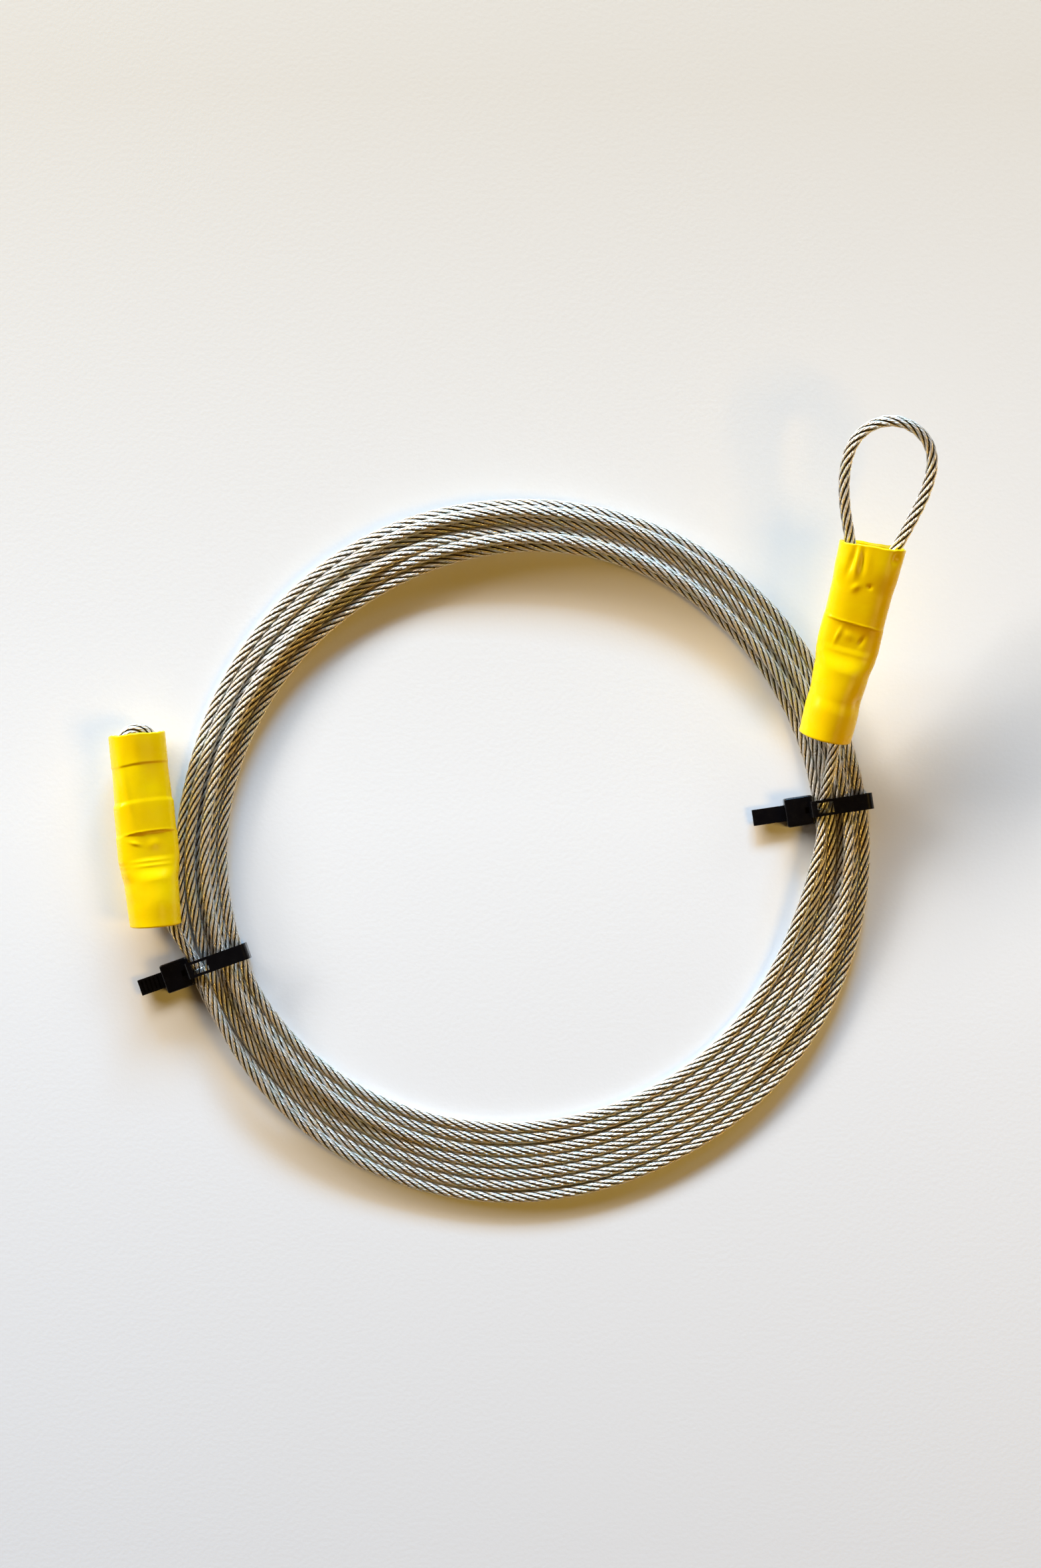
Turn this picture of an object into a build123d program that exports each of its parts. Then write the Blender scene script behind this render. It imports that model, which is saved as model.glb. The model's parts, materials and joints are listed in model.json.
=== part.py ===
from build123d import *
import os
from math import cos, radians, sin, tan

# A wire rope sling with a soft eye at each end, wound into a flat coil and held by two cable ties.
# Millimetres and degrees. The pieces are laid out from the middle of the coil, on the surface that the
# sling lies on, with +X to the right and +Z up. They are then moved together, so that the origin is the
# bottom centre of the whole sling's box.

# Rope
ROPE_D = 3.0
CUT_END_OUT = 0.8  # how far the cut end of the rope stands out of its ferrule

# Coil: angle round the coil, inner radius and outer radius of the wound bundle
COIL_H = 5.6  # two layers of rope, one lying in the other's hollows
COIL_EDGE_R = 2.0
COIL_STATIONS = [
    (3, 80.7, 95.0),
    (14, 80.7, 95.0),
    (32, 81.6, 96.2),
    (62, 83.0, 97.2),
    (90, 82.4, 96.6),
    (114, 80.7, 97.2),
    (138, 80.1, 95.8),
    (164, 81.0, 94.6),
    (180, 81.2, 94.2),
    (194, 81.2, 94.1),
    (200, 81.2, 95.3),
    (206, 81.2, 96.0),
    (220, 80.0, 97.4),
    (240, 77.2, 97.3),
    (270, 73.2, 96.4),
    (300, 73.2, 94.3),
    (325, 74.4, 94.8),
    (342, 74.8, 95.0),
    (351, 76.0, 95.0),
    (358, 78.8, 95.0),
]

# Cable ties: a one-piece moulding whose strap goes round the bundle and through its own head
TIE_ANGLE_RIGHT = 8.5
TIE_ANGLE_LEFT = 199.5
STRAP_W = 4.4
STRAP_T = 1.1
STRAP_CORNER_R = 0.7
TIE_GAP = 0.4  # between the bundle and the strap
TIE_INSIDE_H = 6.0
GROOVE_LENGTH = 30.0  # the straps' grooves under the coil run past both of its edges
HEAD_LENGTH = 7.8
HEAD_W = 8.0
HEAD_H = 5.8
HEAD_EDGE_R = 0.6
TAIL_Z = 1.2
TAIL_RIGHT = 8.9
TAIL_LEFT = 7.2
WINDOW_START = 0.4  # from the edge of the bundle
WINDOW_LENGTH = 4.5
WINDOW_W = 2.9
NOTCH_PITCH = 1.15
NOTCH_W = 0.45
NOTCH_DEPTH = 0.3
TIE_SLIDE_BACK = 1.0  # degrees round the coil, towards the rope end that leaves there
TIE_SLIDE_AWAY = 2.5  # and the other way

# Ferrules: an oval aluminium sleeve with a channel for each leg of the eye, pressed over one stretch
FERRULE_W = 14.2
FERRULE_T = 8.4
FERRULE_LENGTH = 16.5
CHANNEL_D = 3.1
LEG_OFFSET = 3.5  # each channel from the ferrule's middle
PRESS_START = 8.0  # from the ferrule's end at the eye
PRESS_LENGTH = 7.3
PRESS_W = 14.6
PRESS_T = 6.5

# Heat-shrink tubes: distance from the mouth at the eye, inside width and inside thickness
TUBE_WALL = 0.9
TUBE_RIGHT = [
    (0.0, 16.1, 9.4),
    (6.0, 15.7, 9.7),
    (12.6, 14.7, 8.9),
    (21.4, 14.6, 8.8),
    (22.4, 14.9, 6.8),
    (27.9, 14.9, 6.8),
    (28.5, 14.6, 8.8),
    (30.3, 14.5, 9.1),
    (35.0, 13.3, 11.6),
    (42.5, 12.8, 12.6),
    (48.0, 13.2, 13.1),
    (54.0, 13.5, 13.5),
]
TUBE_LEFT = [
    (0.0, 13.6, 10.2),
    (8.2, 13.6, 9.8),
    (9.4, 13.4, 7.6),
    (17.2, 13.8, 7.6),
    (18.4, 14.6, 8.8),
    (26.8, 14.6, 8.8),
    (27.8, 14.9, 6.8),
    (33.2, 14.9, 6.8),
    (33.8, 14.6, 8.8),
    (35.6, 14.2, 9.2),
    (40.0, 12.9, 11.4),
    (46.0, 12.6, 12.4),
    (52.0, 12.7, 12.7),
]
FERRULE_FROM_MOUTH_RIGHT = 13.3
FERRULE_FROM_MOUTH_LEFT = 18.7

# Where each tube's mouth is, the way it points in plan, its slope, and its roll about its own length
MOUTH_RIGHT = (93.7, 82.7, 24.2)
HEADING_RIGHT = 76.7
SLOPE_RIGHT = 10.0
ROLL_RIGHT = 0.0
MOUTH_LEFT = (-105.3, 32.2, 7.7)
HEADING_LEFT = 95.7
SLOPE_LEFT = 0.0
ROLL_LEFT = 20.0

# Each rope end's route: first from the tie to the tube, measured from the middle of the coil, then in
# the tube's own directions: along it from the mouth, to its left, and up
TAIL_ROUTE_RIGHT = [(82.9, 19.0, 7.5), (83.8, 24.4, 8.7)]
EYE_ROUTE_RIGHT = [
    (-54.0, -3.3, -3.7),
    (-47.0, -2.9, -3.3),
    (-40.0, -3.2, -1.3),
    (-34.0, -3.5, 0.0),
    (-9.0, -3.5, 0.0),
    (0.0, -6.1, 0.0),
    (9.0, -8.6, 0.0),
    (17.4, -10.4, 0.0),
    (24.8, -10.4, 0.0),
    (30.3, -7.9, 0.0),
    (33.6, -2.5, 0.0),
    (33.7, 3.5, 0.0),
    (30.8, 8.8, 0.0),
    (25.5, 12.0, 0.0),
    (18.1, 12.4, 0.0),
    (9.0, 10.2, 0.0),
    (0.0, 6.2, 0.0),
    (-8.5, 3.5, 0.0),
]
TAIL_ROUTE_LEFT = [(-92.7, -25.2, 4.6)]
EYE_ROUTE_LEFT = [
    (-53.0, -4.4, 0.0),
    (-47.0, -3.6, 0.3),
    (-40.0, -3.5, 0.0),
    (-14.5, -3.5, 0.0),
    (-10.0, -4.2, 0.0),
    (-5.5, -4.7, 0.0),
    (-1.0, -4.5, 0.0),
    (1.5, -1.9, 0.0),
    (1.5, 1.9, 0.0),
    (-1.0, 4.5, 0.0),
    (-5.5, 4.7, 0.0),
    (-10.0, 4.2, 0.0),
    (-14.5, 3.5, 0.0),
]

# An arc of the rope takes this much of the shorter run beside its corner
ARC_SHARE = 0.45


def on_circle(angle, radius):
    return (radius * cos(radians(angle)), radius * sin(radians(angle)))


def coil():
    """The wound bundle as one ring, with a groove in its underside for each tie's strap."""
    inner = Spline(*[on_circle(a, r) for a, r, _ in COIL_STATIONS], periodic=True)
    outer = Spline(*[on_circle(a, r) for a, _, r in COIL_STATIONS], periodic=True)
    ring = extrude(make_face(outer) - make_face(inner), COIL_H)
    ring = fillet(ring.edges(), COIL_EDGE_R)
    middle = (COIL_STATIONS[0][1] + COIL_STATIONS[0][2]) / 2
    slide = middle * radians(TIE_SLIDE_BACK + TIE_SLIDE_AWAY)
    groove = Box(GROOVE_LENGTH, STRAP_W + slide + 4 * TIE_GAP, 2 * (STRAP_T + TIE_GAP))
    shift = (TIE_SLIDE_AWAY - TIE_SLIDE_BACK) / 2
    for angle in (TIE_ANGLE_RIGHT - shift, TIE_ANGLE_LEFT + shift):
        ring -= Rot(0, 0, angle) * Pos(middle, 0, 0) * groove
    return ring


def strap_loop(width):
    """The strap round a bundle whose near edge is at x = 0, its underside at z = 0."""
    inside = (width + 2 * TIE_GAP, TIE_INSIDE_H)
    outside = (inside[0] + 2 * STRAP_T, inside[1] + 2 * STRAP_T)
    loop = RectangleRounded(*outside, STRAP_CORNER_R + STRAP_T)
    loop -= RectangleRounded(*inside, STRAP_CORNER_R)
    middle = Plane((width / 2, 0, outside[1] / 2), x_dir=(1, 0, 0), z_dir=(0, -1, 0))
    return extrude(middle * loop, STRAP_W / 2, both=True)


def cable_tie(width, tail_length, teeth_up):
    """One tie along X: its head on the near side of the bundle, its cut tail pointing to -X."""
    head = fillet(Box(HEAD_LENGTH, HEAD_W, HEAD_H).edges(), HEAD_EDGE_R)
    head_x = -TIE_GAP - HEAD_LENGTH / 2
    tie = strap_loop(width) + Pos(head_x, 0, HEAD_H / 2) * head
    tail_end = -TIE_GAP - HEAD_LENGTH - tail_length
    tail = Box(-tail_end - TIE_GAP, STRAP_W, STRAP_T)
    tie += Pos((tail_end - TIE_GAP) / 2, 0, TAIL_Z + STRAP_T / 2) * tail
    mouth = Box(2.4, STRAP_W + 0.6, 1.2)
    tie -= Pos(-TIE_GAP - HEAD_LENGTH + 1.2, 0, TAIL_Z + STRAP_T + 0.6) * mouth
    pawl_slot = Box(1.1, 1.6, 1.6)
    tie -= Pos(-TIE_GAP - 1.9, 0, HEAD_H) * pawl_slot
    window = Box(WINDOW_LENGTH, WINDOW_W, 4 * STRAP_T)
    tie -= Pos(WINDOW_START + WINDOW_LENGTH / 2, 0, TIE_INSIDE_H + 1.5 * STRAP_T) * window
    notch = Box(NOTCH_W, STRAP_W - 1.2, 2 * NOTCH_DEPTH)
    notched_z = TAIL_Z + (STRAP_T if teeth_up else 0)
    for i in range(int((tail_length - 1.0) / NOTCH_PITCH)):
        tie -= Pos(tail_end + 1.0 + i * NOTCH_PITCH, 0, notched_z) * notch
    return tie


def bundle_edges(angle):
    """The wound bundle's inner and outer radius at one of the ties."""
    near = min(COIL_STATIONS, key=lambda station: abs(station[0] - angle))
    return near[1], near[2]


def right_tie():
    inner, outer = bundle_edges(TIE_ANGLE_RIGHT)
    return Rot(0, 0, TIE_ANGLE_RIGHT) * Pos(inner, 0, 0) * cable_tie(outer - inner, TAIL_RIGHT, False)


def left_tie():
    """The left tie's head is outside the coil, and its strap also holds the rope that leaves there."""
    inner, _ = bundle_edges(TIE_ANGLE_LEFT)
    outer = max(r for a, _, r in COIL_STATIONS if 190 < a < 210)
    tie = Rot(0, 0, 180) * cable_tie(outer - inner, TAIL_LEFT, True)
    return Rot(0, 0, TIE_ANGLE_LEFT) * Pos(outer, 0, 0) * tie


def end_plane(mouth, heading, slope, roll):
    """A tube's own directions: x out of the mouth, y to the left and z up, turned by roll about x."""
    along = Vector(1, 0, 0).rotate(Axis.Y, -slope).rotate(Axis.Z, heading)
    up = Vector(0, 0, 1).rotate(Axis.Y, -slope).rotate(Axis.Z, heading)
    return Plane(mouth, x_dir=along, z_dir=up.rotate(Axis((0, 0, 0), along), roll))


def section(plane, distance, width, thickness):
    """An oval across the tube, at a distance back from its mouth."""
    across = Plane(
        plane.from_local_coords((-distance, 0, 0)), x_dir=plane.y_dir, z_dir=plane.x_dir
    )
    return across * RectangleRounded(width, thickness, min(width, thickness) / 2 - 0.05)


def ferrule(plane, from_mouth):
    """The ferrule: two plain stretches with the pressed one between them, and two channels."""
    stretches = [
        (0, PRESS_START, FERRULE_W, FERRULE_T),
        (PRESS_START, PRESS_START + PRESS_LENGTH, PRESS_W, PRESS_T),
        (PRESS_START + PRESS_LENGTH, FERRULE_LENGTH, FERRULE_W, FERRULE_T),
    ]
    body = Part()
    for start, end, width, thickness in stretches:
        body += extrude(section(plane, from_mouth + start, width, thickness), start - end)
    for side in (-LEG_OFFSET, LEG_OFFSET):
        start = plane.from_local_coords((-from_mouth + 1, side, 0))
        channel = Plane(start, z_dir=plane.x_dir) * Circle(CHANNEL_D / 2)
        body -= extrude(channel, -FERRULE_LENGTH - 2)
    return body


def tube(plane, profile):
    """A heat-shrink tube, open at both ends."""
    outside = [section(plane, s, w + 2 * TUBE_WALL, t + 2 * TUBE_WALL) for s, w, t in profile]
    inside = [section(plane, s, w, t) for s, w, t in profile]
    return loft(outside, ruled=True) - loft(inside, ruled=True)


def rope(name, points):
    """A plain tube of the rope's diameter along straight runs joined by tangent arcs."""
    vectors = [Vector(*p) for p in points]
    runs = [b - a for a, b in zip(vectors, vectors[1:])]
    radii = []
    for before, after in zip(runs, runs[1:]):
        half_turn = radians(before.get_angle(after)) / 2
        radii.append(ARC_SHARE * min(before.length, after.length) / tan(half_turn))
    path = FilletPolyline(*vectors, radius=radii)
    start = Plane(path @ 0, z_dir=path % 0)
    solid = sweep(start * Circle(ROPE_D / 2), path=path)
    expected = path.length * 3.141593 * ROPE_D**2 / 4
    print(name, "radii", [round(r, 1) for r in radii])
    print(name, "length", round(path.length, 1), "volume over expected", round(solid.volume / expected, 4))
    return solid


def rope_end(name, plane, tail, eye, from_mouth):
    """The rope from its tie through the ferrule, round the eye and back to its cut end."""
    local = [plane.from_local_coords(p) for p in eye]
    cut_end = (-from_mouth - FERRULE_LENGTH - CUT_END_OUT, LEG_OFFSET, 0)
    return rope(name, tail + local + [plane.from_local_coords(cut_end)])


def make_parts():
    right = end_plane(MOUTH_RIGHT, HEADING_RIGHT, SLOPE_RIGHT, ROLL_RIGHT)
    left = end_plane(MOUTH_LEFT, HEADING_LEFT, SLOPE_LEFT, ROLL_LEFT)
    return {
        "rope_coil": coil(),
        "rope_end_right": rope_end(
            "rope_end_right", right, TAIL_ROUTE_RIGHT, EYE_ROUTE_RIGHT, FERRULE_FROM_MOUTH_RIGHT
        ),
        "rope_end_left": rope_end(
            "rope_end_left", left, TAIL_ROUTE_LEFT, EYE_ROUTE_LEFT, FERRULE_FROM_MOUTH_LEFT
        ),
        "ferrule_right": ferrule(right, FERRULE_FROM_MOUTH_RIGHT),
        "ferrule_left": ferrule(left, FERRULE_FROM_MOUTH_LEFT),
        "shrink_tube_right": tube(right, TUBE_RIGHT),
        "shrink_tube_left": tube(left, TUBE_LEFT),
        "cable_tie_right": right_tie(),
        "cable_tie_left": left_tie(),
    }


def main():
    parts = make_parts()
    box = Compound(children=[Part() + p for p in parts.values()]).bounding_box()
    to_frame = Pos(-box.center().X, -box.center().Y, -box.min.Z)
    print("the coil's middle in the frame", to_frame.position)
    print("size", box.size)
    os.makedirs("parts", exist_ok=True)
    for name, part in parts.items():
        export_step(to_frame * part, f"parts/{name}.step")


main()
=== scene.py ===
import json
import math

import bpy
import numpy as np
from mathutils import Matrix, Vector


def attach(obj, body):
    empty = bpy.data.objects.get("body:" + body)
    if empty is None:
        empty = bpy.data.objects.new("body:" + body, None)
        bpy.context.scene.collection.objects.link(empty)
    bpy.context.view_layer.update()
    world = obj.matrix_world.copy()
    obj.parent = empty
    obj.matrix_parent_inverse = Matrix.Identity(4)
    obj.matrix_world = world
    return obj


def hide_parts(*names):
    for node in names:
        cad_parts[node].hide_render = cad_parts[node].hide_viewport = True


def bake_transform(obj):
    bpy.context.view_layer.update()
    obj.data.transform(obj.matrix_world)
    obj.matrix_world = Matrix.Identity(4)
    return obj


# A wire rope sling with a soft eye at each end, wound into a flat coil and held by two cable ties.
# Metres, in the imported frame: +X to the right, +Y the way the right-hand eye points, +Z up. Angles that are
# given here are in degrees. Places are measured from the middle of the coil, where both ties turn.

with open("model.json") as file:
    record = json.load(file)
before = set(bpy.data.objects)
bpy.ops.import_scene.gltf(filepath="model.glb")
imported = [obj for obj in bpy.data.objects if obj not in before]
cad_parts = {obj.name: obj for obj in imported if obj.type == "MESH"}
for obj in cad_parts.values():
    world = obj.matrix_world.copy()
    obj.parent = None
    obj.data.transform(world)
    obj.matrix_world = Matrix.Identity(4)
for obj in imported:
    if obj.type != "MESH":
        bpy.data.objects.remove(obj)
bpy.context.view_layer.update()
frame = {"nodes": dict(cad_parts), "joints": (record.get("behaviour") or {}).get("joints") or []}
JOINTS = {joint["name"]: joint for joint in frame["joints"]}
COIL_MIDDLE = np.array(JOINTS["right_tie_slide"]["pos_m"])

# Rope: six strands laid round a core, each strand six wires round one
ROPE_D = 0.003
STRANDS = 6
STRAND_CENTRE_R = 0.00104
STRAND_R = 0.00053
LAY = 0.0205
WIRES = 6
WIRE_LAY = 0.0068
WIRE_DEPTH = 0.00005
STRAND_ARC = math.radians(240)  # how much of each strand shows on the outside
WIRES_SHOWING = 4  # over that arc
ROUTE_STEPS = 16
FINE_STEP = 0.00035
COARSE_STRIDE = 4
FINE_SAMPLES = 16
COARSE_SAMPLES = 8

# Coil: angle round the coil in degrees, inner radius and outer radius of the wound bundle
COIL_STATIONS = np.array([
    (3, 0.0806, 0.0950),
    (14, 0.0807, 0.0950),
    (32, 0.0816, 0.0962),
    (62, 0.0830, 0.0972),
    (90, 0.0824, 0.0966),
    (114, 0.0807, 0.0972),
    (138, 0.0801, 0.0958),
    (164, 0.0810, 0.0946),
    (180, 0.0812, 0.0955),
    (187, 0.0812, 0.0964),
    (194, 0.0812, 0.0968),
    (206, 0.0812, 0.0966),
    (220, 0.0800, 0.0974),
    (240, 0.0772, 0.0973),
    (270, 0.0732, 0.0964),
    (300, 0.0732, 0.0943),
    (330, 0.0746, 0.0948),
    (342, 0.0748, 0.0950),
    (350, 0.0755, 0.0950),
    (357, 0.0778, 0.0950),
])
# At angles round the coil: how wide the six spaces between the turns are, in proportion to each other, from
# the innermost to the outermost
SPACE_ANGLES = (8, 25, 45, 90, 135, 180, 215, 240, 270, 300, 330, 352)
SPACES = np.array([
    (1.9, 1.9, 1.9, 1.9, 1.9, 1.9),
    (0.0, 2.8, 2.0, 1.6, 2.6, 2.8),
    (0.0, 3.0, 1.6, 1.6, 3.0, 3.0),
    (0.0, 3.0, 1.7, 1.7, 3.0, 3.0),
    (0.0, 3.0, 2.2, 2.0, 3.0, 3.0),
    (0.0, 2.9, 2.9, 1.5, 1.7, 3.0),
    (2.0, 2.6, 3.0, 2.0, 2.6, 3.0),
    (3.0, 2.8, 3.0, 2.6, 3.0, 3.0),
    (3.1, 3.5, 3.1, 3.5, 3.1, 3.6),
    (3.1, 3.3, 3.1, 3.3, 3.1, 3.4),
    (3.2, 3.0, 2.8, 3.0, 2.8, 2.8),
    (3.2, 2.6, 2.6, 2.6, 2.6, 2.6),
])
# At angles round the coil: whether the even turns start above the odd ones (1) or below them (0), or between,
# and how much higher the higher ones start
HIGH_ANGLES = (0.0, 120.0, 165.0, 205.0, 300.0, 345.0)
EVEN_ABOVE = (1.0, 1.0, 0.0, 0.0, 0.5, 1.0)
HIGH_START = 0.0026

# The turns run clockwise from the first station's angle, each made of stations at even angles
COIL_START = 8.5
COIL_TURNS = 6
STATIONS_PER_TURN = 64
LAST_STATIONS = 31  # the part of a turn that brings the rope round to the left tie
# In each turn the rope moves out by one space, from this place in the turn and over this much of it
STEP_OUT_AT = 0.25
STEP_OUT_OVER = 0.35
# The rope wanders across the bundle by about this much, in waves of so many to a turn, and this is about how
# far the waves' sum reaches
WANDER = 0.00025
WANDER_RATES = (0.37, 0.61, 0.83, 1.31, 1.77)
WAVES_REACH = 2.2
COIL_SEED = 1
# Two places, in turns along the coil, where the rope starts out lifted over the others
LIFTED_AT = (2.72, 4.72)
LIFT = 0.005
LIFT_LENGTH = 0.12

# The first and last stations are held by the ties: radius and height
FIRST_STATIONS = np.array([(0.0824, 0.0050), (0.0818, 0.0054), (0.0798, 0.0050)])
LAST_STATION = (0.0938, 0.0042)
# The middle of each turn stays between these two heights in the ties, below this one elsewhere, and this far
# inside the bundle's edges
TIE_FLOOR = 0.00265
TIE_CEILING = 0.00575
COIL_CEILING = 0.012
EDGE_ROOM = 0.0014

# Settling: the turns sink, are drawn back to their places, bend evenly and push each other apart, and after
# RESTING_AFTER steps they only come to rest. Turns nearer than CLOSEST are pushed as if that far apart.
SETTLING_STEPS = 500
RESTING_AFTER = 375
SINK = 0.00006
RESTING_SINK = 0.000004
DRAW_BACK = 0.03
STIFFNESS = 0.06
STIFFENINGS = 6
RESTING_STIFFENINGS = 2
PUSHES = 4
PUSH_SHARE = 0.6
CLOSEST = 0.000001
# The stiff rope stands off the floor between the ties: the angle, how wide a part of it, and how high
SPRUNG_UP = (88, 38, 0.0026)

# Where each tube's mouth is, the way it points in plan, its slope, and its roll about its own length
MOUTH_RIGHT = (0.0937, 0.0827, 0.0242)
TURN_RIGHT = (76.7, 10.0, 0.0)
MOUTH_LEFT = (-0.1053, 0.0322, 0.0077)
TURN_LEFT = (95.7, 0.0, 20.0)

# Each rope end's route: first from the tie to the tube, measured from the middle of the coil, then in the
# tube's own directions: along it from the mouth, to its left, and up
TAIL_ROUTE_RIGHT = [(0.0829, 0.0190, 0.0075), (0.0838, 0.0244, 0.0087)]
EYE_ROUTE_RIGHT = [
    (-0.0540, -0.0033, -0.0037),
    (-0.0470, -0.0029, -0.0033),
    (-0.0400, -0.0032, -0.0013),
    (-0.0340, -0.0035, 0),
    (-0.0090, -0.0035, 0),
    (0, -0.0061, 0),
    (0.0090, -0.0086, 0),
    (0.0174, -0.0104, 0),
    (0.0248, -0.0104, 0),
    (0.0303, -0.0079, 0),
    (0.0336, -0.0025, 0),
    (0.0337, 0.0035, 0),
    (0.0308, 0.0088, 0),
    (0.0255, 0.0120, 0),
    (0.0181, 0.0124, 0),
    (0.0090, 0.0102, 0),
    (0, 0.0062, 0),
    (-0.0085, 0.0035, 0),
    (-0.0306, 0.0035, 0),
]
TAIL_ROUTE_LEFT = [(-0.0927, -0.0252, 0.0046)]
EYE_ROUTE_LEFT = [
    (-0.0530, -0.0044, 0),
    (-0.0470, -0.0036, 0.0003),
    (-0.0400, -0.0035, 0),
    (-0.0145, -0.0035, 0),
    (-0.0100, -0.0042, 0),
    (-0.0055, -0.0047, 0),
    (-0.0010, -0.0045, 0),
    (0.0015, -0.0019, 0),
    (0.0015, 0.0019, 0),
    (-0.0010, 0.0045, 0),
    (-0.0055, 0.0047, 0),
    (-0.0100, 0.0042, 0),
    (-0.0145, 0.0035, 0),
    (-0.0360, 0.0035, 0),
]

# Heat-shrink tubes
TUBE_WALL = 0.0008
TUBE_ALONG = 220
TUBE_AROUND = 144
INSIDE_STRIDE = 4
RIM_ROUND = 0.0002
SQUARENESS = 2.2
# The cut mouth is ragged: height, waves round it and phase. The far end leans.
RAGGED = ((0.00012, 5, 1), (0.00006, 17, 0))
MOUTH_FADE = 0.004
FAR_LEAN = 0.0005
FAR_FADE = 0.002
# How much each tube's steps tilt and bow across it, and how much its mouth leans
SKEW_RIGHT = (0.0005, 0.0, -0.083)
SKEW_LEFT = (-0.0003, -0.0007, 0.0)
SKEW_POWER = 8  # how suddenly the tilt and bow fade at the two ends
# In millimetres: distance from the mouth at the eye, outside width and outside thickness
PROFILE_RIGHT = np.array([
    (0.0, 17.9, 11.2),
    (6.0, 17.5, 11.5),
    (12.6, 16.6, 10.9),
    (20.6, 16.4, 10.7),
    (21.3, 16.6, 10.9),
    (21.5, 16.7, 9.9),
    (27.6, 16.9, 9.8),
    (29.6, 16.5, 10.4),
    (35.0, 15.1, 13.2),
    (42.3, 14.2, 14.0),
    (46.0, 14.7, 14.6),
    (53.2, 14.4, 14.5),
]) / 1000
PROFILE_LEFT = np.array([
    (0.0, 15.4, 12.0),
    (7.6, 15.4, 11.2),
    (8.2, 15.2, 10.7),
    (17.2, 15.6, 10.6),
    (18.6, 16.4, 10.9),
    (25.8, 16.3, 10.7),
    (26.5, 16.4, 10.9),
    (26.7, 16.7, 10.0),
    (33.2, 16.7, 10.0),
    (34.6, 16.3, 10.5),
    (36.0, 15.9, 11.0),
    (40.0, 14.7, 13.2),
    (46.0, 14.4, 14.2),
    (52.0, 14.0, 13.6),
]) / 1000

# Dents and creases in the upper face, in millimetres and degrees: distance from the mouth, how far to the
# left, half length, half width, turn, and height
DENT_UNITS = (1000, 1000, 1000, 1000, 1, 1000)
DENTS_RIGHT = np.array([
    (4.6, 5.0, 3.6, 0.7, 4, -0.7),
    (4.6, 3.4, 3.8, 0.6, -3, 0.5),
    (4.8, 2.0, 3.2, 0.6, -8, -0.55),
    (3.2, 0.6, 2.4, 0.6, -10, 0.25),
    (11.5, 2.2, 1.3, 0.8, 30, 0.35),
    (10.6, -1.6, 0.7, 0.5, 0, -0.35),
    (2.0, -6.8, 1.4, 1.0, 0, -0.7),
    (25.0, 3.6, 2.4, 0.5, 12, 0.35),
    (24.6, 0.8, 1.4, 0.8, -30, 0.3),
    (25.4, -3.0, 1.6, 0.6, 20, -0.3),
    (42.3, -6.4, 1.6, 1.2, 0, -0.8),
]) / DENT_UNITS
DENTS_LEFT = np.array([
    (2.5, 4.5, 6.0, 1.6, -12, -0.4),
    (12.0, 5.8, 9.0, 0.8, -6, 0.5),
    (12.5, -2.0, 4.0, 2.6, 0, -0.25),
    (29.5, 4.6, 0.5, 1.4, 20, 0.3),
    (30.0, -0.5, 1.3, 1.3, 0, 0.3),
    (34.5, 1.0, 0.3, 4.0, 0, 0.10),
    (35.8, 1.0, 0.3, 4.0, 0, 0.10),
]) / DENT_UNITS
RELIEF_FADE = 3  # the dents are whole where the height is a third of the thickness, and fade out at the side

# The rope's three stretches part at these points under the ties
SPLIT_RIGHT = (0.0813, 0.0122, 0.0056)
SPLIT_LEFT = (-0.0890, -0.0318, 0.0042)

# Camera: straight above the sling
CAMERA_PLACE = (0.00038, 0.0085, 1.016)
CAMERA_LENS = 85
CAMERA_SENSOR = 36

# Lights: bearing west of +Y, angle above the floor, distance, size, power in watts and colour
LIGHTS = [
    ("window", 0, 19.5, 2.5, (1.3, 0.4), 92, (0.37, 0.66, 1.0)),
    ("window_left", 30, 19.5, 2.5, (1.3, 0.4), 48, (1.0, 0.93, 0.84)),
    ("window_far_left", 60, 18, 2.5, (1.3, 0.4), 48, (1.0, 0.93, 0.84)),
    ("window_right", -35, 24, 2.5, (1.0, 0.4), 7, (0.8, 0.9, 1.0)),
    ("room_lamp", -110, 48, 1.8, (0.6, 0.6), 11, (1.0, 0.60, 0.12)),
]
FLOOR_REACH = 2.0

# Most of a noise's values lie between these two
NOISE_LOW = 0.3
NOISE_HIGH = 0.7
NOISE_DETAIL = 3.0


def from_middle(points):
    """Points measured from the middle of the coil, in the frame."""
    return np.array(points, float) + COIL_MIDDLE


def end_matrix(mouth, turn):
    """A tube's own directions: x out of its mouth, y to its left and z up, turned by roll about x."""
    heading, slope, roll = [math.radians(angle) for angle in turn]
    level = Matrix.Rotation(heading, 4, "Z") @ Matrix.Rotation(-slope, 4, "Y")
    return Matrix.Translation(from_middle(mouth)) @ level @ Matrix.Rotation(roll, 4, "X")


def in_frame(matrix, points):
    """Points in a tube's own directions, in the frame."""
    turned = np.array(points, float) @ np.array(matrix.to_3x3()).T
    return turned + np.array(matrix.translation)


END_RIGHT = end_matrix(MOUTH_RIGHT, TURN_RIGHT)
END_LEFT = end_matrix(MOUTH_LEFT, TURN_LEFT)


# The coil


def bundle_edges(angle):
    """The wound bundle's inner and outer radius at angles in degrees."""
    angles, *radii = COIL_STATIONS.T
    return [np.interp(angle % 360, angles, radius, period=360) for radius in radii]


def eased(x):
    """From 0 to 1, level at both ends."""
    x = np.clip(x, 0, 1)
    return x * x * (3 - 2 * x)


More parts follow.
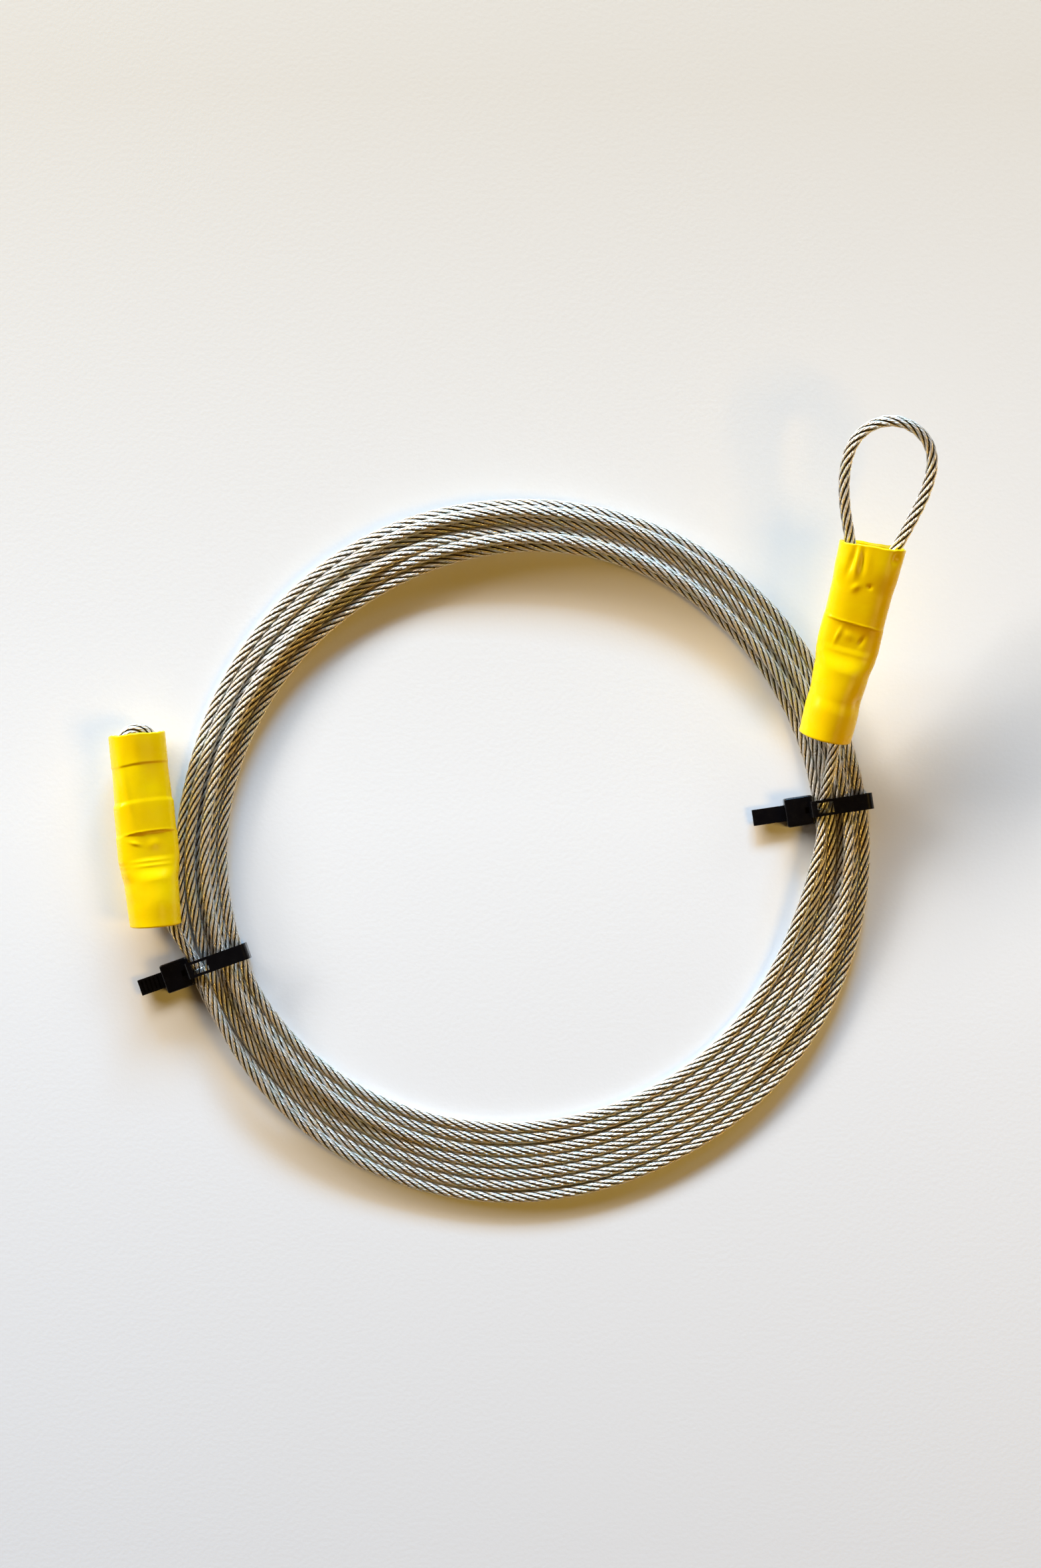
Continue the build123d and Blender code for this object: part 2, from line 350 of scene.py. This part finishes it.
def stiffened(x, strength, times):
    """Evens out a line's bending, as the rope's own stiffness does."""
    for _ in range(times):
        bend = np.zeros_like(x)
        bend[1:-1] = x[:-2] - 2 * x[1:-1] + x[2:]
        change = np.zeros_like(x)
        change[2:-2] = bend[1:-3] - 2 * bend[2:-2] + bend[3:-1]
        x = x - strength * change
    return x


def spread_across(angle, rank, lowest):
    """The radius of each turn, with the spaces between neighbouring turns in their proportions."""
    spaces = np.stack([np.interp(angle % 360, SPACE_ANGLES, column, period=360) for column in SPACES.T])
    order = np.arange(COIL_TURNS)[:, None]
    inside = (spaces * np.clip(rank - order, 0, 1)).sum(axis=0)
    below = (spaces * np.clip(lowest - order, 0, 1)).sum(axis=0)
    inner, outer = bundle_edges(angle)
    share = (inside - below) / (spaces.sum(axis=0) - below)
    return inner + ROPE_D / 2 + share * (outer - inner - ROPE_D)


def wound_turns():
    """Where each station of the coil starts: angle, radius and height, wandering across the bundle."""
    station = np.arange(COIL_TURNS * STATIONS_PER_TURN + LAST_STATIONS)
    turn = station / STATIONS_PER_TURN
    angle = COIL_START - 360 * turn
    inner, outer = bundle_edges(angle)
    stepping = turn - STEP_OUT_AT
    rank = np.maximum(0, np.floor(stepping) + eased(stepping % 1 / STEP_OUT_OVER))
    lowest = rank[station % STATIONS_PER_TURN]
    phases = np.random.default_rng(COIL_SEED).uniform(0, 2 * np.pi, len(WANDER_RATES))
    waves = sum(np.sin(2 * np.pi * turn * rate + phase) for rate, phase in zip(WANDER_RATES, phases))
    radius = spread_across(angle, rank, lowest) + WANDER * waves / WAVES_REACH
    even = (1 + np.cos(np.pi * rank)) / 2
    above = np.interp(angle % 360, HIGH_ANGLES, EVEN_ABOVE, period=360)
    height = ROPE_D / 2 + HIGH_START * (above * even + (1 - above) * (1 - even))
    for lifted in LIFTED_AT:
        height += LIFT * np.exp(-(((turn - lifted) / LIFT_LENGTH) ** 2))
    return angle, np.clip(radius, inner + ROPE_D / 2, outer - ROPE_D / 2), height


def pushed_apart(radius, height):
    """How far the turns that overlap at each station push each other, across the bundle and up."""
    rows = COIL_TURNS + 1
    spare = np.full(rows * STATIONS_PER_TURN - len(radius), np.nan)
    r = np.concatenate([radius, spare]).reshape(rows, STATIONS_PER_TURN)
    z = np.concatenate([height, spare]).reshape(rows, STATIONS_PER_TURN)
    across = r[:, None] - r[None]
    up = z[:, None] - z[None]
    apart = np.hypot(across, up)
    apart[np.arange(rows), np.arange(rows)] = ROPE_D
    overlap = np.clip(np.nan_to_num(ROPE_D - apart), 0, None)
    push = overlap / np.maximum(apart, CLOSEST) / 2
    move_r = np.nansum(push * across, axis=1).ravel()[: len(radius)]
    move_z = np.nansum(push * up, axis=1).ravel()[: len(radius)]
    return move_r, move_z


def sprung_up(angle):
    """How far the stiff rope stands off the floor at each angle."""
    middle, spread, rise = SPRUNG_UP
    away = (angle - middle + 180) % 360 - 180
    return rise * np.exp(-((away / spread) ** 2))


def settled_coil():
    """The coil's turns after they have sunk on to the floor and each other."""
    angle, target, height = wound_turns()
    inner, outer = bundle_edges(angle)
    radius = target.copy()
    held = len(FIRST_STATIONS)
    station = np.arange(len(angle)) % STATIONS_PER_TURN
    in_tie = (station == 0) | (station == LAST_STATIONS - 1)
    floor = np.where(in_tie, TIE_FLOOR, ROPE_D / 2)
    ceiling = np.where(in_tie, TIE_CEILING, COIL_CEILING)
    for step in range(SETTLING_STEPS):
        resting = step > RESTING_AFTER
        height = height - (RESTING_SINK if resting else SINK)
        if not resting:
            radius = radius + (target - radius) * DRAW_BACK
        times = RESTING_STIFFENINGS if resting else STIFFENINGS
        radius = stiffened(radius, STIFFNESS, times)
        height = stiffened(height, STIFFNESS, times)
        for _ in range(PUSHES):
            move_r, move_z = pushed_apart(radius, height)
            radius = np.clip(radius + PUSH_SHARE * move_r, inner + EDGE_ROOM, outer - EDGE_ROOM)
            height = np.clip(height + PUSH_SHARE * move_z, floor, ceiling)
            radius[:held], height[:held] = FIRST_STATIONS.T
            radius[-1], height[-1] = LAST_STATION
    turned = np.radians(angle)
    return np.stack([radius * np.cos(turned), radius * np.sin(turned), height + sprung_up(angle)], axis=1)


# The rope


def nurbs_line(points, steps):
    """Points along the NURBS spline with these control points."""
    curve = bpy.data.curves.new("route", "CURVE")
    curve.dimensions = "3D"
    curve.resolution_u = steps
    spline = curve.splines.new("NURBS")
    spline.points.add(len(points) - 1)
    for control, point in zip(spline.points, points):
        control.co = (*point, 1)
    spline.order_u = 3
    spline.use_endpoint_u = True
    holder = bpy.data.objects.new("route", curve)
    mesh = bpy.data.meshes.new_from_object(holder)
    line = np.array([vertex.co for vertex in mesh.vertices])
    bpy.data.objects.remove(holder)
    bpy.data.curves.remove(curve)
    bpy.data.meshes.remove(mesh)
    return line


def evenly_spaced(line, step):
    """The line's points again, a fixed step apart, and how far along each one is."""
    lengths = np.linalg.norm(np.diff(line, axis=0), axis=1)
    along = np.concatenate([[0], np.cumsum(lengths)])
    at = np.arange(0, along[-1], step)
    return np.stack([np.interp(at, along, line[:, axis]) for axis in range(3)], axis=1), at


def whole_rope(coil):
    """The whole rope's line from cut end to cut end: its points, how far along they are, and two directions
    across it, carried along the line without twist."""
    right = np.concatenate([from_middle(TAIL_ROUTE_RIGHT), in_frame(END_RIGHT, EYE_ROUTE_RIGHT)])
    left = np.concatenate([from_middle(TAIL_ROUTE_LEFT), in_frame(END_LEFT, EYE_ROUTE_LEFT)])
    route = [*right[::-1], *from_middle(coil), *left]
    line, along = evenly_spaced(nurbs_line(route, ROUTE_STEPS), FINE_STEP)
    tangents = np.gradient(line, axis=0)
    tangents /= np.linalg.norm(tangents, axis=1)[:, None]
    sides = np.zeros_like(tangents)
    side = np.cross(tangents[0], (0.0, 0.0, 1.0))
    for index, tangent in enumerate(tangents):
        side = side - (side @ tangent) * tangent
        side /= math.sqrt(side @ side)
        sides[index] = side
    return line, along, sides, np.cross(tangents, sides)


def strand_skin(line, along, sides, ups, samples, wires):
    """For each point of the line, a ring of points over the outer arcs of the six strands, with the wires'
    own relief or without it."""
    strand = np.repeat(np.arange(STRANDS), samples)
    share = np.tile(np.arange(samples) / samples, STRANDS)
    centre = 2 * np.pi * (strand / STRANDS + along[:, None] / LAY)
    arc = STRAND_ARC * (share - 0.5)
    wire = np.abs(np.sin(np.pi * (WIRES_SHOWING * share + WIRES * along[:, None] / WIRE_LAY)))
    reach = STRAND_R - (WIRE_DEPTH * (1 - wire) if wires else 0)
    across = STRAND_CENTRE_R * np.cos(centre) + reach * np.cos(centre + arc)
    upward = STRAND_CENTRE_R * np.sin(centre) + reach * np.sin(centre + arc)
    return line[:, None] + across[..., None] * sides[:, None] + upward[..., None] * ups[:, None]


def grid_faces(rings, around, closed):
    """Four-sided faces between rings of points, and from the last ring to the first where it is closed."""
    ring, point = np.meshgrid(np.arange(rings if closed else rings - 1), np.arange(around), indexing="ij")
    after, beside = (ring + 1) % rings, (point + 1) % around
    corners = [ring * around + point, ring * around + beside, after * around + beside, after * around + point]
    return np.stack(corners, axis=-1).reshape(-1, 4)


def new_piece(name, vertices, faces, material):
    """A smooth mesh of one material, as an object in the scene."""
    mesh = bpy.data.meshes.new(name)
    mesh.from_pydata(vertices.tolist(), [], faces)
    mesh.materials.append(material)
    mesh.polygons.foreach_set("use_smooth", np.ones(len(mesh.polygons), bool))
    piece = bpy.data.objects.new(name, mesh)
    bpy.context.scene.collection.objects.link(piece)
    return piece


def map_the_lay(piece, along, around, samples):
    """The map "lay" of a piece of rope: how many lays along, and which strand and how far across it."""
    ring, point = np.meshgrid(np.arange(len(along) - 1), np.arange(around), indexing="ij")
    u = np.stack([along[ring], along[ring], along[ring + 1], along[ring + 1]], axis=-1) / LAY
    v = np.stack([point, point + 1, point + 1, point], axis=-1) / samples
    spots = np.zeros((len(piece.data.loops), 2))
    spots[: u.size] = np.stack([u.ravel(), v.ravel()], axis=1)
    piece.data.uv_layers.new(name="lay").data.foreach_set("uv", spots.ravel())


def rope_piece(name, rope, first, last, fine, material):
    """One stretch of the rope as a closed mesh, and the line along its middle."""
    stride, samples = (1, FINE_SAMPLES) if fine else (COARSE_STRIDE, COARSE_SAMPLES)
    chosen = np.append(np.arange(first, last, stride), last)
    line, along, sides, ups = [values[chosen] for values in rope]
    rings = strand_skin(line, along, sides, ups, samples, fine)
    count, around = rings.shape[:2]
    vertices = np.concatenate([rings.reshape(-1, 3), line[:1], line[-1:]])
    faces = grid_faces(count, around, False).tolist()
    for point in range(around):
        beside = (point + 1) % around
        faces.append((beside, point, count * around))
        faces.append(((count - 1) * around + point, (count - 1) * around + beside, count * around + 1))
    piece = new_piece(name, vertices, faces, material)
    map_the_lay(piece, along, around, samples)
    return piece, line


# The heat-shrink tubes


def eased_between(at, places, values):
    """Values between places, level at each place."""
    index = np.clip(np.searchsorted(places, at, side="right") - 1, 0, len(places) - 2)
    share = eased((at - places[index]) / (places[index + 1] - places[index]))
    return values[index] + share * (values[index + 1] - values[index])


def section_points(width, thickness, angle):
    """An oval between an ellipse and a rounded rectangle: the flatter it is, the squarer its ends."""
    power = 2 / (2 + SQUARENESS * (1 - thickness / width))
    c, s = np.cos(angle), np.sin(angle)
    y = width / 2 * np.sign(c) * np.abs(c) ** power
    z = thickness / 2 * np.sign(s) * np.abs(s) ** power
    return y, z


def relief(distance, side, top, dents):
    """How far the film stands out or in on the tube's upper face."""
    total = np.zeros_like(distance)
    for at, offset, half_length, half_width, turn, height in dents:
        c, s = math.cos(math.radians(turn)), math.sin(math.radians(turn))
        along, across = distance - at, side - offset
        u, v = c * along + s * across, c * across - s * along
        total += height * np.exp(-((u / half_length) ** 2) - (v / half_width) ** 2)
    return total * eased(top * RELIEF_FADE)


def tube_section(profile, tilt, bow, dents, distance, angle):
    """The tube's outer face at distances from its mouth and angles round it: how far to the left, and up."""
    places, widths, thicknesses = profile.T
    share = 1 - np.abs(2 * distance / places[-1] - 1) ** SKEW_POWER
    shifted = distance + (tilt * np.cos(angle) + bow * np.cos(angle) ** 2) * share
    width = eased_between(shifted, places, widths)
    thickness = eased_between(shifted, places, thicknesses)
    y, z = section_points(width, thickness, angle)
    grown = 1 + relief(distance, y, z / thickness, dents) / np.hypot(y, z)
    return y * grown, z * grown


def tube_piece(name, matrix, profile, skew, dents, material):
    """A heat-shrink tube: its outside, its inside and both rims as one closed mesh. Its steps tilt and bow
    across it, and its cut mouth leans."""
    tilt, bow, lean = skew
    length = profile[-1, 0]
    angles = np.arange(TUBE_AROUND) / TUBE_AROUND * 2 * np.pi
    distance, angle = np.meshgrid(np.linspace(0, length, TUBE_ALONG), angles, indexing="ij")
    y, z = tube_section(profile, tilt, bow, dents, distance, angle)
    ragged = sum(height * np.sin(waves * angle + phase) for height, waves, phase in RAGGED)
    mouth = np.exp(-distance / MOUTH_FADE) * (lean * y + ragged)
    far_end = FAR_LEAN * np.sin(angle) * np.exp((distance - length) / FAR_FADE)
    x = mouth - distance - far_end
    outside = np.stack([x, y, z], axis=-1)
    inward = 1 - TUBE_WALL / np.hypot(y, z)
    inside = np.stack([x, y * inward, z * inward], axis=-1)
    far_rim = (outside[-1:] + inside[-1:]) / 2 - (RIM_ROUND, 0, 0)
    mouth_rim = (outside[:1] + inside[:1]) / 2 + (RIM_ROUND, 0, 0)
    rings = np.concatenate([outside, far_rim, inside[::-INSIDE_STRIDE], mouth_rim])
    faces = grid_faces(len(rings), TUBE_AROUND, True)[:, ::-1].tolist()
    return new_piece(name, in_frame(matrix, rings.reshape(-1, 3)), faces, material)


# Materials


def new_material(name, **values):
    """A material, and its surface with these constant values."""
    material = bpy.data.materials.new(name)
    material.use_nodes = True
    surface = material.node_tree.nodes["Principled BSDF"]
    for socket, value in values.items():
        surface.inputs[socket.replace("_", " ")].default_value = value
    return material, surface


def node(owner, kind, inputs, **settings):
    """A node of a material or the world, whose inputs are numbers, colours or other nodes' outputs."""
    made = owner.node_tree.nodes.new("ShaderNode" + kind)
    for setting, value in settings.items():
        setattr(made, setting, value)
    for socket, value in inputs.items():
        if isinstance(value, bpy.types.NodeSocket):
            owner.node_tree.links.new(value, made.inputs[socket])
        else:
            made.inputs[socket].default_value = value
    return made


def maths(material, operation, *values):
    """The result of a calculation with one to three values."""
    return node(material, "Math", dict(enumerate(values)), operation=operation).outputs[0]


def noise(material, scale):
    """A soft noise, fixed to the piece."""
    place = node(material, "TexCoord", {}).outputs["Object"]
    values = {"Vector": place, "Scale": scale, "Detail": NOISE_DETAIL}
    return node(material, "TexNoise", values).outputs["Fac"]


def ramp(owner, value, stops):
    """A colour for each value, from a list of places and colours."""
    made = node(owner, "ValToRGB", {"Fac": value})
    elements = made.color_ramp.elements
    while len(elements) < len(stops):
        elements.new(0.5)
    for element, (place, colour) in zip(elements, stops):
        element.position = place
        element.color = (*colour, 1)
    return made.outputs["Color"]


def join(owner, output, surface, socket):
    """Lets a node's output set one value of the surface."""
    owner.node_tree.links.new(output, surface.inputs[socket])


def tint(material, surface, scale, dark, light):
    """A base colour that wanders between two."""
    tone = ramp(material, noise(material, scale), [(NOISE_LOW, dark), (NOISE_HIGH, light)])
    join(material, tone, surface, "Base Color")


def roughen(material, surface, scale, smooth, rough):
    """A roughness that wanders between two."""
    stops = [(NOISE_LOW, (smooth, smooth, smooth)), (NOISE_HIGH, (rough, rough, rough))]
    join(material, ramp(material, noise(material, scale), stops), surface, "Roughness")


def emboss(material, surface, height, distance, strength):
    """Fine relief, without changing the mesh."""
    bump = node(material, "Bump", {"Height": height, "Distance": distance, "Strength": strength})
    join(material, bump.outputs["Normal"], surface, "Normal")


def wire_ridges(material, lays, strand):
    """The rounded wires that lie across each strand: 0 between two wires and 1 on top of one."""
    turns = maths(material, "MULTIPLY", lays, WIRES * LAY / WIRE_LAY)
    phase = maths(material, "ADD", maths(material, "MULTIPLY", strand, WIRES_SHOWING), turns)
    wave = maths(material, "SINE", maths(material, "MULTIPLY", phase, math.pi))
    return maths(material, "ABSOLUTE", wave)


def steel():
    """Bright galvanised wire: fine wires across each strand, patches of tone, dirt and painted shade down
    between strands.
    """
    material, surface = new_material("galvanised_wire", Metallic=0.8)
    spot = node(material, "UVMap", {}, uv_map="lay").outputs["UV"]
    parts = node(material, "SeparateXYZ", {"Vector": spot})
    lays, strand = parts.outputs["X"], parts.outputs["Y"]
    share = maths(material, "FRACT", strand)
    edge = maths(material, "ABSOLUTE", maths(material, "SUBTRACT", share, 0.5))
    # Dirt and painted shade: each strand is white on its crown and darkens to near black in the valleys
    # between strands.
    dirt_and_shade = ramp(material, edge, [
        (0.20, (1, 1, 1)),
        (0.28, (0.36, 0.30, 0.20)),
        (0.36, (0.015, 0.01, 0.006)),
    ])
    zinc = ramp(material, noise(material, 220), [
        (0.36, (0.98, 0.90, 0.76)),
        (0.50, (1.0, 0.98, 0.95)),
        (0.64, (0.94, 0.97, 0.91)),
    ])
    colour = node(
        material, "Mix", {"Factor": 1.0, "A": zinc, "B": dirt_and_shade}, data_type="RGBA", blend_type="MULTIPLY"
    )
    join(material, colour.outputs["Result"], surface, "Base Color")
    roughen(material, surface, 900, 0.24, 0.44)
    emboss(material, surface, wire_ridges(material, lays, strand), 0.00016, 1.0)
    return material


def yellow_film():
    """Glossy heat-shrunk film, its colour a little deeper in patches."""
    material, surface = new_material("yellow_tube", Specular_IOR_Level=0.2)
    tint(material, surface, 90, (0.97, 0.63, 0.0004), (1.0, 0.72, 0.0006))
    roughen(material, surface, 250, 0.20, 0.34)
    emboss(material, surface, noise(material, 400), 0.00006, 0.5)
    return material


def black_nylon():
    """Moulded nylon with a fine grain."""
    material, surface = new_material("black_nylon", IOR=1.35, Base_Color=(0.003, 0.003, 0.004, 1))
    roughen(material, surface, 500, 0.16, 0.30)
    emboss(material, surface, noise(material, 2500), 0.00004, 0.4)
    return material


def pressed_aluminium():
    """Satin aluminium with marks from the press."""
    material, surface = new_material("ferrule_aluminium", Metallic=1.0)
    tint(material, surface, 200, (0.62, 0.63, 0.64), (0.80, 0.81, 0.82))
    roughen(material, surface, 700, 0.30, 0.50)
    return material


def paper():
    """The white paper under the sling, with painted light: bluish towards -Y, warm and darker towards +Y."""
    material, surface = new_material("paper", Roughness=0.9)
    place = node(material, "TexCoord", {}).outputs["Object"]
    parts = node(material, "SeparateXYZ", {"Vector": place})
    along = maths(material, "MULTIPLY_ADD", parts.outputs["Y"], 2.0, 0.5)
    # Painted light and shade along Y: cool towards -Y, warm and darker towards +Y.
    tone = ramp(material, along, [
        (0.1, (0.80, 0.84, 0.90)),
        (0.5, (0.90, 0.92, 0.94)),
        (0.9, (0.72, 0.67, 0.59)),
    ])
    join(material, tone, surface, "Base Color")
    emboss(material, surface, noise(material, 900), 0.0001, 0.3)
    return material


# The sling


def nearest(line, point):
    """Which of the line's points is nearest to one measured from the middle of the coil."""
    return int(np.argmin(np.linalg.norm(line - from_middle(point), axis=1)))


def make_rope():
    """The one rope, as three pieces that part under the ties."""
    wire = steel()
    rope = whole_rope(settled_coil())
    line = rope[0]
    first = nearest(line, SPLIT_RIGHT)
    last = nearest(line, SPLIT_LEFT)

    coil, path = rope_piece("wire_rope_coil", rope, first, last, False, wire)
    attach(coil, "coil")
    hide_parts("rope_coil")

    right, path = rope_piece("wire_rope_right_end", rope, 0, first, True, wire)
    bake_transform(right)
    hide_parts("rope_end_right")

    left, path = rope_piece("wire_rope_left_end", rope, last, len(line) - 1, True, wire)
    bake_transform(left)
    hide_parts("rope_end_left")


def make_tubes():
    """The heat-shrink tube over each end's ferrule."""
    film = yellow_film()
    ends = [
        ("right", END_RIGHT, PROFILE_RIGHT, SKEW_RIGHT, DENTS_RIGHT),
        ("left", END_LEFT, PROFILE_LEFT, SKEW_LEFT, DENTS_LEFT),
    ]
    for side, matrix, profile, skew, dents in ends:
        tube = tube_piece(f"heat_shrink_{side}", matrix, profile, skew, dents, film)
        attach(tube, f"{side}_end")
        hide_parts(f"shrink_tube_{side}")


def finish_cad_parts():
    """The ties and the ferrules are the CAD's own nodes, given their materials."""
    finishes = [
        ("cable_tie", black_nylon(), "black_nylon"),
        ("ferrule", pressed_aluminium(), "ferrule_aluminium"),
    ]
    for part_name, material, slot in finishes:
        for side in ("right", "left"):
            part = frame["nodes"][f"{part_name}_{side}"]
            part.data.materials.clear()
            part.data.materials.append(material)


# The studio


def area_light(name, bearing, rise, distance, size, power, colour):
    """A light that faces the sling from a bearing west of +Y, at an angle above the floor, in degrees."""
    turned = Matrix.Rotation(math.radians(bearing), 3, "Z") @ Matrix.Rotation(math.radians(rise), 3, "X")
    place = turned @ Vector((0, distance, 0))
    light = bpy.data.lights.new(name, "AREA")
    light.shape = "RECTANGLE"
    light.size, light.size_y = size
    light.energy = power
    light.color = colour
    lamp = bpy.data.objects.new(name, light)
    lamp.location = place
    lamp.rotation_mode = "QUATERNION"
    lamp.rotation_quaternion = place.to_track_quat("Z", "Y")
    bpy.context.scene.collection.objects.link(lamp)


def make_room():
    """The dim brown light from all round, darker overhead."""
    world = bpy.data.worlds.new("room")
    world.use_nodes = True
    place = node(world, "TexCoord", {}).outputs["Generated"]
    height = node(world, "SeparateXYZ", {"Vector": place}).outputs["Z"]
    glow = ramp(world, height, [(0.30, (0.08, 0.04, 0.008)), (0.85, (0.04, 0.02, 0.004))])
    join(world, glow, world.node_tree.nodes["Background"], "Color")
    bpy.context.scene.world = world


def make_floor():
    """The sheet of paper that the sling lies on."""
    corners = [(-1, -1, 0), (1, -1, 0), (1, 1, 0), (-1, 1, 0)]
    floor = new_piece("floor", FLOOR_REACH * np.array(corners), [(0, 1, 2, 3)], paper())


def make_camera():
    """The camera looks straight down, which is how Blender makes one."""
    camera_data = bpy.data.cameras.new("camera")
    camera_data.lens = CAMERA_LENS
    camera_data.sensor_width = CAMERA_SENSOR
    camera = bpy.data.objects.new("camera", camera_data)
    camera.location = CAMERA_PLACE
    bpy.context.scene.collection.objects.link(camera)
    bpy.context.scene.camera = camera


make_rope()
make_tubes()
finish_cad_parts()
make_floor()
for light in LIGHTS:
    area_light(*light)
make_room()
make_camera()
bpy.context.scene.view_settings.view_transform = "Standard"
